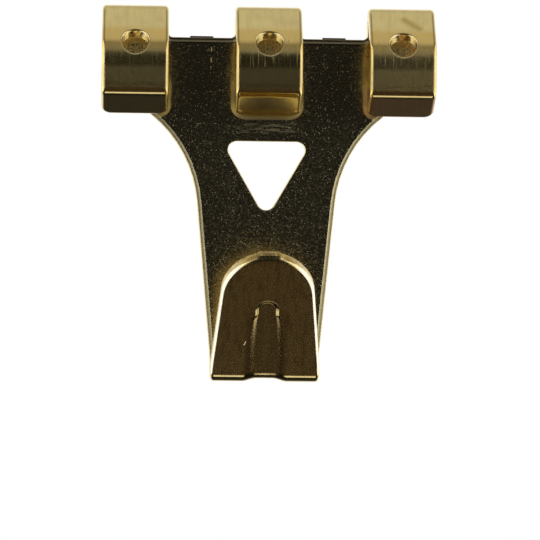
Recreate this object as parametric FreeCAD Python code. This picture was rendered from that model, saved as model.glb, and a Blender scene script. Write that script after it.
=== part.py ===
"""Three-nail picture hook, blanked from one steel sheet, folded and brass plated.

The wall is the plane Y = 0, and the hook stands in front of it, towards -Y, with +Z up.
The origin lies on the wall, on the line of symmetry, level with the plate's top edge.
"""
import FreeCAD, Part
import math
import os

Vector = FreeCAD.Vector
ACROSS = Vector(1, 0, 0)
BACK = Vector(0, 1, 0)
UP = Vector(0, 0, 1)

# Sheet, with the rounding of its cut edges outside and inside the folds and of its pierced holes
sheet = 1.8
edge_round = 0.55
inside_edge_round = 0.15
rim_round = 0.25

# Nail loops, from the plate's top edge over the crown and down the front
loop_width = 9.1
loop_pitch = 18.25
loop_crown = 4.25
loop_root_round = 0.6
crown_inner_radius = 0.6
brow_tilt = 40.0
brow_inner_radius = 2.8
brow_foot = -3.45
front_foot = -6.42
crease_inner_radius = 0.5
lip_drop = 27.0
lip_gap = 0.1
lip_corner_radius = 1.4

# Nail holes in the loops and the larger exit holes in the plate behind them
nail_hole_radius = 1.85
nail_hole_height = -0.92
exit_hole_radius = 2.1

# Fan-shaped plate and its shank, with the sheet left between its shoulders and the exit holes
shoulder_corner_radius = 1.2
shoulder_radius = 17.3
shoulder_land = 1.15
shank_taper = 5.4
shank_blend_radius = 15.0

# Triangular window
window_top = -14.2
window_side = 12.3
window_corner_radius = 1.2

# Hook bend and tongue
hook_half_width = 7.5
hook_bottom = -47.25
hook_inner_radius = 0.7
tongue_lean = 34.0
tongue_length = 19.0
tongue_taper = 5.4

# Stiffening groove pressed into the tongue and the bend, where its walls spread out
groove_depth = 0.45
groove_floor_half_width = 1.1
groove_wall_run = 0.55
groove_bend_run = 2.0
groove_spread_length = 9.5
groove_length = 12.1
groove_wrap = 35.0

# Stubs where the blank was broken out of its carrier strip
stub_width = 3.2
stub_height = 0.2
stub_inset = 0.3

# Extra reach that lets a cutter or a stub pass through a face
overlap = 1.0

# Angle past which two faces meet at a cut edge, and distance within which two points are one
sharp_angle = 30.0
touching = 1e-6


def sin(degrees):
    return math.sin(math.radians(degrees))


def cos(degrees):
    return math.cos(math.radians(degrees))


def tan(degrees):
    return math.tan(math.radians(degrees))


def line(start, end):
    return Part.LineSegment(start, end).toShape()


def front_arc(centre, radius, first, last):
    """Arc in the front view, its angles counted from +X towards +Z."""
    points = [
        centre + Vector(cos(angle), 0, sin(angle)) * radius
        for angle in (first, (first + last) / 2, last)
    ]
    return Part.Arc(*points).toShape()


def front_angle(start, end):
    """Direction from one point to another in the front view."""
    return math.degrees(math.atan2(end.z - start.z, end.x - start.x))


def mirrored_face(edges):
    """Face bounded by a right half outline and its mirror image."""
    mirrored = [edge.mirror(Vector(), ACROSS) for edge in edges]
    return Part.Face(Part.Wire(Part.__sortEdges__(edges + mirrored)))


def travel(heading):
    """Side-view direction along a strip, from straight up (0) to forward (90) and down (180)."""
    return Vector(0, -sin(heading), cos(heading))


def outward(heading, side):
    """Side-view normal of the strip's outer face; side is 1 on a loop and -1 on the hook."""
    return Vector(0, cos(heading), sin(heading)) * side


def bend(start, heading, side, inner_radius, turn):
    """Outer and inner arcs of a bend, with the outer point and the heading it ends on."""
    outer_radius = inner_radius + sheet
    centre = start - outward(heading, side) * outer_radius
    headings = [heading + side * turn * share for share in (0.0, 0.5, 1.0)]
    arcs = []
    for radius in (outer_radius, inner_radius):
        points = [centre + outward(angle, side) * radius for angle in headings]
        arcs.append(Part.Arc(*points).toShape())
    end = centre + outward(headings[-1], side) * outer_radius
    return arcs, end, headings[-1]


def flat(start, heading, side, length):
    """Outer and inner lines of a flat run, with the outer point it ends on."""
    end = start + travel(heading) * length
    inset = outward(heading, side) * -sheet
    return [line(start, end), line(start + inset, end + inset)], end


def strip(edges, start, start_heading, end, end_heading, side, width):
    """Solid strip of sheet from its side-view edges, centred on X = 0."""
    caps = [
        line(point, point - outward(heading, side) * sheet)
        for point, heading in ((start, start_heading), (end, end_heading))
    ]
    profile = Part.Face(Part.Wire(Part.__sortEdges__(edges + caps)))
    return profile.translated(ACROSS * (-width / 2)).extrude(ACROSS * width)


# Loop folds: the outer radii, and where the sloped brow and the lip come to
crown_outer_radius = crown_inner_radius + sheet
brow_outer_radius = brow_inner_radius + sheet
crease_outer_radius = crease_inner_radius + sheet
crown_foot = loop_crown - crown_outer_radius
loop_start = Vector(0, 0, crown_foot)
slope_top = loop_crown - crown_outer_radius * (1 - sin(brow_tilt))
slope_drop = slope_top - brow_foot - brow_outer_radius * sin(brow_tilt)
slope_end_depth = crown_outer_radius * (1 + cos(brow_tilt)) + slope_drop * tan(brow_tilt)
loop_depth = slope_end_depth + brow_outer_radius * (1 - cos(brow_tilt))
lip_start_depth = loop_depth - crease_outer_radius * (1 - sin(lip_drop))
lip_end_depth = sheet + lip_gap + sheet * sin(lip_drop)
lip_length = (lip_start_depth - lip_end_depth) / cos(lip_drop)

# Nail line: square to the loop where it enters, and on to the plate's mid-thickness
nail_tilt = math.degrees(math.asin((nail_hole_height - brow_foot) / brow_outer_radius))
nail_entry = Vector(0, brow_outer_radius * (1 - cos(nail_tilt)) - loop_depth, nail_hole_height)
nail_line = Vector(0, cos(nail_tilt), -sin(nail_tilt))
exit_hole_height = nail_entry.z - (-sheet / 2 - nail_entry.y) * tan(nail_tilt)
loop_places = [-loop_pitch, 0.0, loop_pitch]

# Hook folds
hook_outer_radius = hook_inner_radius + sheet
hook_axis = Vector(0, -hook_outer_radius, hook_bottom + hook_outer_radius)
hook_start = Vector(0, 0, hook_axis.z)
groove_turn = 90 - tongue_lean + groove_wrap


def plate_outline():
    """Right half of the plate with the roots of its loops, from the middle loop down to the bend."""
    half = loop_width / 2
    far = loop_pitch - half
    out = loop_pitch + half
    blend_centre = Vector(hook_half_width + shank_blend_radius, 0, hook_axis.z)
    blend_top = blend_centre + Vector(-cos(shank_taper), 0, sin(shank_taper)) * shank_blend_radius
    shank_up = Vector(sin(shank_taper), 0, cos(shank_taper))
    shank_out = Vector(cos(shank_taper), 0, -sin(shank_taper))
    hole = Vector(loop_pitch, 0, exit_hole_height) - blend_top
    hole_reach = shoulder_radius + shoulder_land + exit_hole_radius
    hole_rise = math.sqrt(hole_reach**2 - (shoulder_radius - hole.dot(shank_out)) ** 2)
    waist = blend_top + shank_up * (hole.dot(shank_up) - hole_rise)
    shoulder = waist + shank_out * shoulder_radius
    corner_x = out - shoulder_corner_radius
    corner_reach = shoulder_radius + shoulder_corner_radius
    corner_rise = math.sqrt(corner_reach**2 - (shoulder.x - corner_x) ** 2)
    corner = Vector(corner_x, 0, shoulder.z + corner_rise)
    near_root = Vector(half + loop_root_round, 0, loop_root_round)
    far_root = Vector(far - loop_root_round, 0, loop_root_round)
    return [
        line(Vector(0, 0, crown_foot), Vector(half, 0, crown_foot)),
        line(Vector(half, 0, crown_foot), Vector(half, 0, loop_root_round)),
        front_arc(near_root, loop_root_round, 180, 270),
        line(Vector(near_root.x, 0, 0), Vector(far_root.x, 0, 0)),
        front_arc(far_root, loop_root_round, 270, 360),
        line(Vector(far, 0, loop_root_round), Vector(far, 0, crown_foot)),
        line(Vector(far, 0, crown_foot), Vector(out, 0, crown_foot)),
        line(Vector(out, 0, crown_foot), Vector(out, 0, corner.z)),
        front_arc(corner, shoulder_corner_radius, 0, front_angle(corner, shoulder)),
        front_arc(shoulder, shoulder_radius, front_angle(shoulder, corner), 180 - shank_taper),
        line(waist, blend_top),
        front_arc(blend_centre, shank_blend_radius, 180 - shank_taper, 180),
        line(Vector(hook_half_width, 0, hook_axis.z), Vector(0, 0, hook_axis.z)),
    ]


def window():
    """Prism of the rounded, equal-sided triangle that points down through the plate."""
    height = window_side * math.sqrt(3) / 2
    corners = [
        Vector(-window_side / 2, 0, window_top),
        Vector(window_side / 2, 0, window_top),
        Vector(0, 0, window_top - height),
    ]
    face = Part.Face(Part.makePolygon(corners + corners[:1]))
    rounded = face.makeOffset2D(-window_corner_radius).makeOffset2D(window_corner_radius)
    return rounded.translated(BACK * overlap).extrude(BACK * (-sheet - 2 * overlap))


def loop_profile():
    """Side-view edges of a nail loop, outer and inner by turns, with its outer end and its heading."""
    crown, slope_start, heading = bend(loop_start, 0, 1, crown_inner_radius, 180 - brow_tilt)
    slope, slope_end = flat(slope_start, heading, 1, slope_drop / cos(brow_tilt))
    brow, front_start, heading = bend(slope_end, heading, 1, brow_inner_radius, brow_tilt)
    front, front_end = flat(front_start, heading, 1, brow_foot - front_foot)
    crease, lip_start, heading = bend(front_end, heading, 1, crease_inner_radius, 90 - lip_drop)
    lip, lip_end = flat(lip_start, heading, 1, lip_length)
    return crown + slope + brow + front + crease + lip, lip_end, heading


def loop():
    """One nail loop at X = 0, from its root over the crown to the lip that folds back to the plate."""
    edges, lip_end, heading = loop_profile()
    solid = strip(edges, loop_start, 0, lip_end, heading, 1, loop_width)
    middle = lip_end - outward(heading, 1) * (sheet / 2)
    ends = [middle + ACROSS * (side * loop_width / 2) for side in (-1, 1)]
    corners = [
        edge for edge in solid.Edges if any(edge.CenterOfMass.isEqual(end, touching) for end in ends)
    ]
    return solid.makeFillet(lip_corner_radius, corners)


def hook_profile():
    """Side-view edges of the hook's bend, outer and inner, with its outer end and its heading."""
    return bend(hook_start, 180, -1, hook_inner_radius, 180 - tongue_lean)


def tongue_frame(shape):
    """Move a shape drawn upright, its outer face on Y = 0 and its foot on Z = 0, to the tongue."""
    foot = hook_axis + outward(tongue_lean, -1) * hook_outer_radius
    return shape.rotated(Vector(), ACROSS, tongue_lean).translated(foot)


def tongue():
    """Tapered, round-ended tongue, upright."""
    blend_centre = Vector(hook_half_width - shank_blend_radius, 0, 0)
    blend_top = blend_centre + Vector(cos(tongue_taper), 0, sin(tongue_taper)) * shank_blend_radius
    side_at_tip = blend_top.x - (tongue_length - blend_top.z) * tan(tongue_taper)
    tip_radius = side_at_tip * cos(tongue_taper) / (1 - sin(tongue_taper))
    tip = Vector(0, 0, tongue_length - tip_radius)
    side_end = tip + Vector(cos(tongue_taper), 0, sin(tongue_taper)) * tip_radius
    edges = [
        line(Vector(), Vector(hook_half_width, 0, 0)),
        front_arc(blend_centre, shank_blend_radius, 0, tongue_taper),
        line(blend_top, side_end),
        front_arc(tip, tip_radius, tongue_taper, 90),
    ]
    return mirrored_face(edges).extrude(BACK * sheet)


def band_mouth(mouth_level, crest_level, wall_run):
    """Half width of a pressed band at its mouth; the levels are depths below the tongue's outer face."""
    return groove_floor_half_width + (crest_level - mouth_level) * wall_run / groove_depth


def band_end(mouth_level, crest_level, wall_run):
    """Round end of a pressed band, upright, with its axis on the tongue's foot."""
    mouth = band_mouth(mouth_level, crest_level, wall_run)
    height = crest_level - mouth_level
    return Part.makeCone(mouth, groove_floor_half_width, height, Vector(0, mouth_level, 0), BACK)


def band_section(mouth_level, crest_level, wall_run):
    """Section of a pressed band at the tongue's foot, narrowing from its mouth to its crest."""
    mouth = band_mouth(mouth_level, crest_level, wall_run)
    corners = [
        Vector(-mouth, mouth_level, 0),
        Vector(mouth, mouth_level, 0),
        Vector(groove_floor_half_width, crest_level, 0),
        Vector(-groove_floor_half_width, crest_level, 0),
    ]
    return Part.makePolygon(corners + corners[:1])


def pressed_band(mouth_level, crest_level):
    """Band up the tongue, upright, and round the bend, with its walls spread out towards the bend."""
    spread = UP * groove_spread_length
    rise = UP * (groove_length - groove_floor_half_width - groove_wall_run)
    wide = band_section(mouth_level, crest_level, groove_bend_run)
    narrow = band_section(mouth_level, crest_level, groove_wall_run).translated(spread)
    pieces = [
        band_end(mouth_level, crest_level, groove_wall_run).translated(rise),
        Part.makeLoft([wide, narrow], True, True),
        Part.Face(wide).revolve(BACK * hook_outer_radius, ACROSS, groove_turn),
    ]
    return Part.Face(narrow).extrude(rise - spread).fuse(pieces)


def groove():
    """Cutter for the groove, which ends round past the bottom of the bend."""
    levels = (-overlap, groove_depth)
    far_end = band_end(*levels, groove_bend_run).rotated(BACK * hook_outer_radius, ACROSS, groove_turn)
    return tongue_frame(pressed_band(*levels).fuse(far_end))


def ridge():
    """Ridge that the groove raises on the inside of the hook."""
    return tongue_frame(pressed_band(sheet - groove_depth, sheet + groove_depth))


def stubs():
    """Broken carrier stubs on the plate's top edge and on the tongue's tip."""
    size = (stub_width, sheet - 2 * stub_inset, overlap + stub_height)
    upright = Part.makeBox(*size, Vector(-stub_width / 2, stub_inset, -overlap))
    gaps = [(left + right) / 2 for left, right in zip(loop_places, loop_places[1:])]
    on_plate = [upright.translated(Vector(gap, -sheet, 0)) for gap in gaps]
    return on_plate + [tongue_frame(upright.translated(UP * tongue_length))]


def is_sharp(shape, edge):
    """Whether an edge is a cut edge of the sheet rather than a smooth join of two faces."""
    faces = shape.ancestorsOfType(edge, Part.Face)
    if len(faces) != 2:
        return False
    point = edge.valueAt((edge.FirstParameter + edge.LastParameter) / 2)
    normals = [face.normalAt(*face.Surface.parameter(point)) for face in faces]
    return normals[0].getAngle(normals[1]) > math.radians(sharp_angle)


def sharp_edges(shape):
    return [edge for edge in shape.Edges if is_sharp(shape, edge)]


def outside_line():
    """Side view of the sheet's outer face, from a lip over its loop, down the plate and up the tongue."""
    turn, _, _ = hook_profile()
    plate = line(loop_start, hook_start)
    tongue_side = tongue_frame(line(Vector(), UP * tongue_length))
    return Part.Compound(loop_profile()[0][::2] + [plate, turn[0], tongue_side])


def is_outside(edge, outside):
    """Whether an edge bounds the face that lies outside the folds."""
    middle = edge.valueAt((edge.FirstParameter + edge.LastParameter) / 2)
    return outside.distToShape(Part.Vertex(0, middle.y, middle.z))[0] < touching


def folded_sheet():
    """Plate, loops, hook and window in one, with rounded edges."""
    plate = mirrored_face(plate_outline()).extrude(BACK * -sheet)
    turn, end, heading = hook_profile()
    hook = strip(turn, hook_start, 180, end, heading, -1, 2 * hook_half_width)
    loops = [loop().translated(ACROSS * place) for place in loop_places]
    sheet_metal = plate.fuse(loops + [hook, tongue_frame(tongue())]).removeSplitter()
    cut = sheet_metal.cut(window())
    outside = outside_line()
    outer = [edge for edge in sharp_edges(cut) if is_outside(edge, outside)]
    tumbled = cut.makeFillet(edge_round, outer)
    return tumbled.makeFillet(inside_edge_round, sharp_edges(tumbled))


def nail_holes():
    """Punches for the holes that the nails enter by and those that they leave by."""
    length = sheet + 2 * overlap
    punches = []
    for place in loop_places:
        entry = nail_entry + ACROSS * place - nail_line * overlap
        punches.append(Part.makeCylinder(nail_hole_radius, length, entry, nail_line))
        leave = Vector(place, overlap, exit_hole_height)
        punches.append(Part.makeCylinder(exit_hole_radius, length, leave, -BACK))
    return punches


pierced = folded_sheet().cut(nail_holes())
pierced = pierced.makeFillet(rim_round, sharp_edges(pierced))
body = pierced.fuse([ridge()] + stubs()).cut(groove()).removeSplitter().Solids[0]
os.makedirs("parts", exist_ok=True)
body.exportStep("parts/picture_hook.step")
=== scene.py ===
import cmath
import math
from collections import namedtuple
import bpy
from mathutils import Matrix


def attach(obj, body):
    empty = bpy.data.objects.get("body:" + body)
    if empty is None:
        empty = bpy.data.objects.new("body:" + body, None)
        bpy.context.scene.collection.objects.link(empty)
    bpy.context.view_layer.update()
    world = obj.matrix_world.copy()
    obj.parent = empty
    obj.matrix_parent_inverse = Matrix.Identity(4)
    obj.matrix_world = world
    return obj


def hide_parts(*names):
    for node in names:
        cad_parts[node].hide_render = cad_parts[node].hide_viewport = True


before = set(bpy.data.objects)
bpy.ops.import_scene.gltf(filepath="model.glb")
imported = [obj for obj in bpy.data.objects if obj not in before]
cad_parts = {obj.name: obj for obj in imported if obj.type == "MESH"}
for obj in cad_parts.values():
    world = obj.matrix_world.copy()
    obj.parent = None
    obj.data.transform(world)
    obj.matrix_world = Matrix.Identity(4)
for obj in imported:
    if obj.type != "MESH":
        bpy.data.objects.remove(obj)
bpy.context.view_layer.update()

from types import SimpleNamespace

import bpy
import numpy as np
from mathutils import Matrix, Vector
from mathutils.geometry import delaunay_2d_cdt

Fold = namedtuple("Fold", "station inner_radius turn way")
Mark = namedtuple("Mark", "start end reach")
Pattern = namedtuple("Pattern", "scale stretch detail start end")
Pits = namedtuple("Pits", "spacing radius share")
Tint = namedtuple("Tint", "colour share")

# The hook in millimetres, standing in front of the wall plane Y = 0, with +Z up
MM = 0.001
SHEET = 1.8
EDGE_ROUND = 0.55
INSIDE_EDGE_ROUND = 0.15
RIM_ROUND = 0.25

# Nail loops, from the plate's top edge over the crown and down the front to the lip
LOOP_WIDTH = 9.1
LOOP_PITCH = 18.25
LOOP_CROWN = 4.25
LOOP_ROOT_ROUND = 0.6
CROWN_INNER_RADIUS = 0.6
BROW_TILT = 40.0
BROW_INNER_RADIUS = 2.8
BROW_FOOT = -3.45
FRONT_FOOT = -6.42
CREASE_INNER_RADIUS = 0.5
LIP_DROP = 27.0
LIP_GAP = 0.1
LIP_CORNER_RADIUS = 1.4

# Slanted nail holes in the loops and exit holes in the plate behind them
NAIL_HOLE_RADIUS = 1.85
NAIL_HOLE_HEIGHT = -0.92
EXIT_HOLE_RADIUS = 2.1

# Fan-shaped plate, its shank and its triangular window
SHOULDER_CORNER_RADIUS = 1.2
SHOULDER_RADIUS = 17.3
SHOULDER_LAND = 1.15
SHANK_TAPER = 5.4
SHANK_BLEND_RADIUS = 15.0
WINDOW_TOP = -14.2
WINDOW_SIDE = 12.3
WINDOW_CORNER_RADIUS = 1.2

# Hook bend and tongue
HOOK_HALF_WIDTH = 7.5
HOOK_BOTTOM = -47.25
HOOK_INNER_RADIUS = 0.7
TONGUE_LEAN = 34.0
TONGUE_LENGTH = 19.0
TONGUE_TAPER = 5.4

# Stiffening groove, pressed through the tongue and round the bend, where its walls spread out
GROOVE_DEPTH = 0.45
GROOVE_FLOOR_HALF_WIDTH = 1.1
GROOVE_WALL_RUN = 0.55
GROOVE_BEND_RUN = 2.0
GROOVE_SPREAD_LENGTH = 9.5
GROOVE_LENGTH = 12.1
GROOVE_WRAP = 35.0

# Lowered band that the blanking die leaves along the plate's edge, and the roll of its window's edge
BAND_WIDTH = 0.5
BAND_DEPTH = 0.06
BAND_WALL = 0.08
ROLL_SHARES = (1.0, 0.75, 0.5, 0.3)

# Stubs where the blank was broken out of its carrier strip
STUB_WIDTH = 3.2
STUB_HEIGHT = 0.2
STUB_INSET = 0.3
STUB_FLANK = 0.02

# Marks of wear: the print of each lip's end, and pits of two sizes, fainter off the plate than on it
PRINT_CORNER = 1.6
PRINT_WIDTH = 0.6
FINE_PITS = Pits(0.25, 0.055, 0.7)
LARGE_PITS = Pits(1.2, 0.1, 0.35)
FINE_PIT_LEVEL = 0.7
PITS_OFF_PLATE = 0.3

# Cloudy patterns of the finish: spots to the millimetre, stretch, detail, and where they start and are full
CLOUD = Pattern(0.35, (1, 1, 1), 3.0, 0.4, 0.75)
STREAK = Pattern(1.0, (5.5, 1, 0.22), 3.0, 0.53, 0.76)
SPECK = Pattern(4.0, (1, 1, 1), 2.0, 0.38, 0.72)
STAIN = Pattern(0.9, (1.4, 1, 0.4), 3.0, 0.42, 0.72)
SCRAPE = Pattern(1.0, (0.4, 1, 4.0), 3.0, 0.4, 0.65)
RUB = Pattern(4.5, (0.7, 1, 1.4), 3.0, -0.3, 0.8)
MOTTLE_SCALE = 1.6
GRAIN_SCALE = 5.0
GRAIN_STRETCH = (1, 1, 0.6)

# Depths below a face at which the finish changes: near the face, off it, in the cut wall and on a rim
NEAR_FACE = 0.05
OFF_FACE = 0.25
WALL_MARGIN = 0.3
RIM_MARGIN = 0.04
RIM_FADE = 0.03

# Colour of the clean plating, and its tints with the share that each has where it is full
CLEAN_BRASS = (0.88, 0.71, 0.30, 1)
DULL_BRASS = Tint((0.80, 0.63, 0.28, 1), 1.0)
MOTTLED_BRASS = Tint((0.62, 0.52, 0.26, 1), 0.35)
RED_LIP = Tint((0.57, 0.28, 0.13, 1), 0.9)
PALE_PLATE = Tint((0.80, 0.74, 0.50, 1), 0.55)
STAINED_TONGUE = Tint((0.55, 0.40, 0.17, 1), 0.85)
TONGUE_INSIDE = Tint((0.38, 0.27, 0.11, 1), 0.35)
# Painted shade: darker brown on the sunk floor of the groove
GROOVE_FLOOR_PAINTED_SHADE = Tint((0.42, 0.31, 0.12, 1), 0.6)
# Painted shade: darker brown on the groove's walls, dimming their bright reflections
GROOVE_WALL_PAINTED_SHADE = Tint((0.46, 0.31, 0.12, 1), 0.6)
GOLDEN_SLOPE = Tint((0.77, 0.48, 0.09, 1), 0.6)
# Painted shade: near-black on the plate's top edge between the loops
TOP_EDGE_PAINTED_SHADE = Tint((0.22, 0.17, 0.09, 1), 0.75)
# Painted highlight: pale, nearly white brass on the rounded rims of the tongue's sides
TONGUE_RIM_PAINTED_HIGHLIGHT = Tint((0.92, 0.87, 0.72, 1), 0.75)
# Painted highlight: pale gold on the walls and rims of the nail holes
BORE_PAINTED_HIGHLIGHT = Tint((0.97, 0.87, 0.58, 1), 0.8)
# Painted shade: duller, darker brass from the slope down over the loop's brow, front and lip
LOOP_FRONT_PAINTED_SHADE = Tint((0.68, 0.52, 0.20, 1), 0.3)
OUTSIDE_STAIN = Tint((0.66, 0.49, 0.20, 1), 0.3)
SMEAR_STAIN = Tint((0.56, 0.40, 0.12, 1), 0.85)
PIT_GLINT = Tint((0.90, 0.86, 0.76, 1), 0.6)

# Roughness of the clean plating, and what each place and mark adds to it
CLEAN_ROUGHNESS = 0.08
MOTTLE_ROUGHNESS = 0.06
WALL_ROUGHNESS = 0.06
PLATE_ROUGHNESS = 0.05
PLATE_SPECK_ROUGHNESS = 0.08
LOW_PLATE_SPECK_ROUGHNESS = 0.1
BAND_ROUGHNESS = 0.26
LOW_BAND_ROUGHNESS = 0.1
HAZE_ROUGHNESS = 0.21
LOWER_HAZE_ROUGHNESS = 0.12
RIGHT_HAZE_ROUGHNESS = 0.045
MIDDLE_HAZE_ROUGHNESS = -0.05
SCUFF_ROUGHNESS = 0.45
LIP_ROUGHNESS = 0.07
RIGHT_LIP_ROUGHNESS = 0.18
MIDDLE_LIP_ROUGHNESS = 0.04
INSIDE_LOOP_ROUGHNESS = 0.3
TONGUE_ROUGHNESS = 0.09
TONGUE_SPECK_ROUGHNESS = 0.04
SMEAR_ROUGHNESS = 0.08
BRUISE_ROUGHNESS = 0.24
RING_ROUGHNESS = 0.35

# Strength of the die streaks on the brows: on the left, and what is added to its right and in the middle
LEFT_STREAKS = 0.35
RIGHTWARD_STREAKS = 0.4
MIDDLE_STREAKS = 0.75

# Relief of the marks, sunk where it is negative, as shares of a full height in millimetres
RELIEF_HEIGHT = 0.06
PIT_RELIEF = -0.4
GRAIN_RELIEF = 0.05
CRINKLE_RELIEF = 0.14
STREAK_RELIEF = 0.12
SCRATCH_RELIEF = -0.4
DENT_RELIEF = -0.9
PRINT_RELIEF = -1.4

# Studio: brightness of the room's parts, then the softboxes and the floor in metres and degrees
WHITE = (1, 1, 1, 1)
OVERHEAD_LEVEL = 0.25
ZENITH_LEVEL = 0.35
HIGH_BACK_CUT = 0.45
LOW_BACK_LEVEL = 0.035
CARD_LEVEL = 0.046
CARD_COLOUR = (1, 0.73, 0.5, 1)
ROOM_LEVEL = 0.011
SOFTBOX_AZIMUTH = 76
SOFTBOX_ELEVATION = -4
SOFTBOX_DISTANCE = 0.4
SOFTBOX_WIDTH = 0.62
SOFTBOX_HEIGHT = 0.76
SOFTBOX_RADIANCE = 1.3
FLOOR_REACH = 2.0
FLOOR_LEVEL = -0.085
FLOOR_COLOUR = (0.9, 0.9, 0.9, 1)
FLOOR_ROUGHNESS = 0.9
FLOOR_FADE_START = 0.11
FLOOR_FADE_END = 0.19

# Camera, in millimetres and degrees
CAMERA_AIM = (0.66, -SHEET, -31.9)
CAMERA_DISTANCE = 450
CAMERA_ANGLE = 9.45
CAMERA_YAW = 2.5
CAMERA_ROLL = 0.7

# Sockets of a colour mix node, by number because other kinds of mix share their names
MIX_SHARE = 0
MIX_FROM = 6
MIX_TO = 7
MIX_RESULT = 2

# Spacing of the mesh: degrees on folds and roundings, millimetres elsewhere
FOLD_STEP = 2.5
ROUND_STEP = 15.0
ARC_STEP = 6.0
RUN_STEP = 0.4
COLUMN_STEP = 0.6
GROOVE_STEP = 0.14
GUARD = 0.12
HOLE_SIDES = 72
NAIL_SAMPLES = 600
MERGE_DISTANCE = 1e-7
SHARP_ANGLE = 40.0

# Kind of triangulation that keeps only what lies inside the edges
TRIANGLES_INSIDE = 1


def sin(degrees):
    return math.sin(math.radians(degrees))


def cos(degrees):
    return math.cos(math.radians(degrees))


def tan(degrees):
    return math.tan(math.radians(degrees))


def mid_radius(fold):
    return fold.inner_radius + SHEET / 2


def fold_length(fold):
    """Length of sheet that a fold takes up, along the middle of its thickness."""
    return mid_radius(fold) * math.radians(fold.turn)


def fold_end(fold):
    """Height in the flat blank at which a fold ends."""
    return fold.station + fold.way * fold_length(fold)


# Lengths of the loop's flats, from the same rules as the solid's
crown_outer = CROWN_INNER_RADIUS + SHEET
brow_outer = BROW_INNER_RADIUS + SHEET
crease_outer = CREASE_INNER_RADIUS + SHEET
slope_drop = LOOP_CROWN - crown_outer * (1 - sin(BROW_TILT)) - BROW_FOOT - brow_outer * sin(BROW_TILT)
slope_depth = crown_outer * (1 + cos(BROW_TILT)) + slope_drop * tan(BROW_TILT)
loop_depth = slope_depth + brow_outer * (1 - cos(BROW_TILT))
lip_reach = loop_depth - crease_outer * (1 - sin(LIP_DROP)) - SHEET - LIP_GAP - SHEET * sin(LIP_DROP)
lip_length = lip_reach / cos(LIP_DROP)
lip_foot = FRONT_FOOT - crease_outer * cos(LIP_DROP) - lip_length * sin(LIP_DROP)

# Folds in the flat blank, each placed by the height at which it starts; way is 1 upwards, -1 downwards
crown = Fold(LOOP_CROWN - crown_outer, CROWN_INNER_RADIUS, 180 - BROW_TILT, 1)
slope_foot = fold_end(crown) + slope_drop / cos(BROW_TILT)
brow = Fold(slope_foot, BROW_INNER_RADIUS, BROW_TILT, 1)
front_foot = fold_end(brow) + BROW_FOOT - FRONT_FOOT
crease = Fold(front_foot, CREASE_INNER_RADIUS, 90 - LIP_DROP, 1)
loop_tip = fold_end(crease) + lip_length
hook = Fold(HOOK_BOTTOM + HOOK_INNER_RADIUS + SHEET, HOOK_INNER_RADIUS, 180 - TONGUE_LEAN, -1)
tongue_foot = fold_end(hook)
tongue_tip = tongue_foot - TONGUE_LENGTH
groove_top = tongue_foot - GROOVE_LENGTH
loop_folds = (crease, brow, crown)
loop_places = (-LOOP_PITCH, 0.0, LOOP_PITCH)

# Slanted nail line, square to the loop's outer face where it enters
nail_tilt = math.degrees(math.asin((NAIL_HOLE_HEIGHT - BROW_FOOT) / brow_outer))
nail_entry = (brow_outer * (1 - cos(nail_tilt)) - loop_depth, NAIL_HOLE_HEIGHT)
exit_hole_height = nail_entry[1] - (-SHEET / 2 - nail_entry[0]) * tan(nail_tilt)

# Single marks of wear, by their ends on the flat blank: on the right loop, the plate and the tongue
smear = Mark((LOOP_PITCH + 0.3, 6.6), (LOOP_PITCH + 2.2, 8.2), 0.95)
scratch = Mark((-7.75, -1.2), (-7.85, -5.6), 0.09)
dent = Mark((-3.0, tongue_foot - 4.9), (-2.85, tongue_foot - 5.4), 0.12)


def steps(start, end, spacing):
    """Even stations from start to end, no further apart than the spacing."""
    return np.linspace(start, end, max(1, math.ceil(abs(end - start) / spacing)) + 1)


def fold_rows(fold):
    """Heights of the rows of points across one fold."""
    return steps(fold.station, fold_end(fold), mid_radius(fold) * math.radians(FOLD_STEP))


def folded(y, z, fold):
    """Section points after one fold of the blank."""
    along = fold.way * (z - fold.station)
    angle = np.clip(along / mid_radius(fold), 0, math.radians(fold.turn))
    past = np.maximum(along - fold_length(fold), 0)
    centre = -SHEET / 2 - mid_radius(fold)
    arm = y - centre
    new_y = centre + arm * np.cos(angle) - past * np.sin(angle)
    new_along = np.minimum(along, 0) + arm * np.sin(angle) + past * np.cos(angle)
    return new_y, fold.station + fold.way * new_along


class CutEdge:
    """Walk round a cut edge of the blank with the sheet on the right; points are x + 1j * height."""

    def __init__(self, place, heading):
        self.place = place
        self.heading = heading
        self.points = []
        self.normals = []

    def note(self, place, heading):
        self.points.append(place)
        self.normals.append(heading * 1j)

    def straight(self, length, stops=None):
        for stop in steps(0, length, RUN_STEP) if stops is None else stops:
            self.note(self.place + self.heading * stop, self.heading)
        self.place += self.heading * length

    def turn(self, radius, angle):
        """Arc to the left for a positive angle, in degrees, and to the right for a negative one."""
        to_centre = self.heading * cmath.rect(radius, math.copysign(math.pi / 2, angle))
        for part in steps(0, angle, ARC_STEP)[1:-1]:
            spin = cmath.rect(1, math.radians(part))
            self.note(self.place + to_centre - to_centre * spin, self.heading * spin)
        spin = cmath.rect(1, math.radians(angle))
        self.place += to_centre - to_centre * spin
        self.heading *= spin

    def down_to(self, height, rows=()):
        """Straight run up or down to a height, with points on the given rows."""
        length = abs(height - self.place.imag)
        stops = [abs(row - self.place.imag) for row in rows]
        inner = [stop for stop in stops if 0 < stop < length]
        self.straight(length, sorted([0.0] + inner + [length]))


def loop_rows():
    """Heights of the rows of points on a loop, from its root to its lip."""
    stretches = [
        steps(LOOP_ROOT_ROUND, crown.station, RUN_STEP),
        fold_rows(crown),
        steps(fold_end(crown), brow.station, RUN_STEP),
        fold_rows(brow),
        steps(fold_end(brow), crease.station, RUN_STEP),
        fold_rows(crease),
        steps(fold_end(crease), loop_tip - LIP_CORNER_RADIUS, RUN_STEP),
    ]
    return np.unique(np.round(np.concatenate(stretches), 6))


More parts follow.
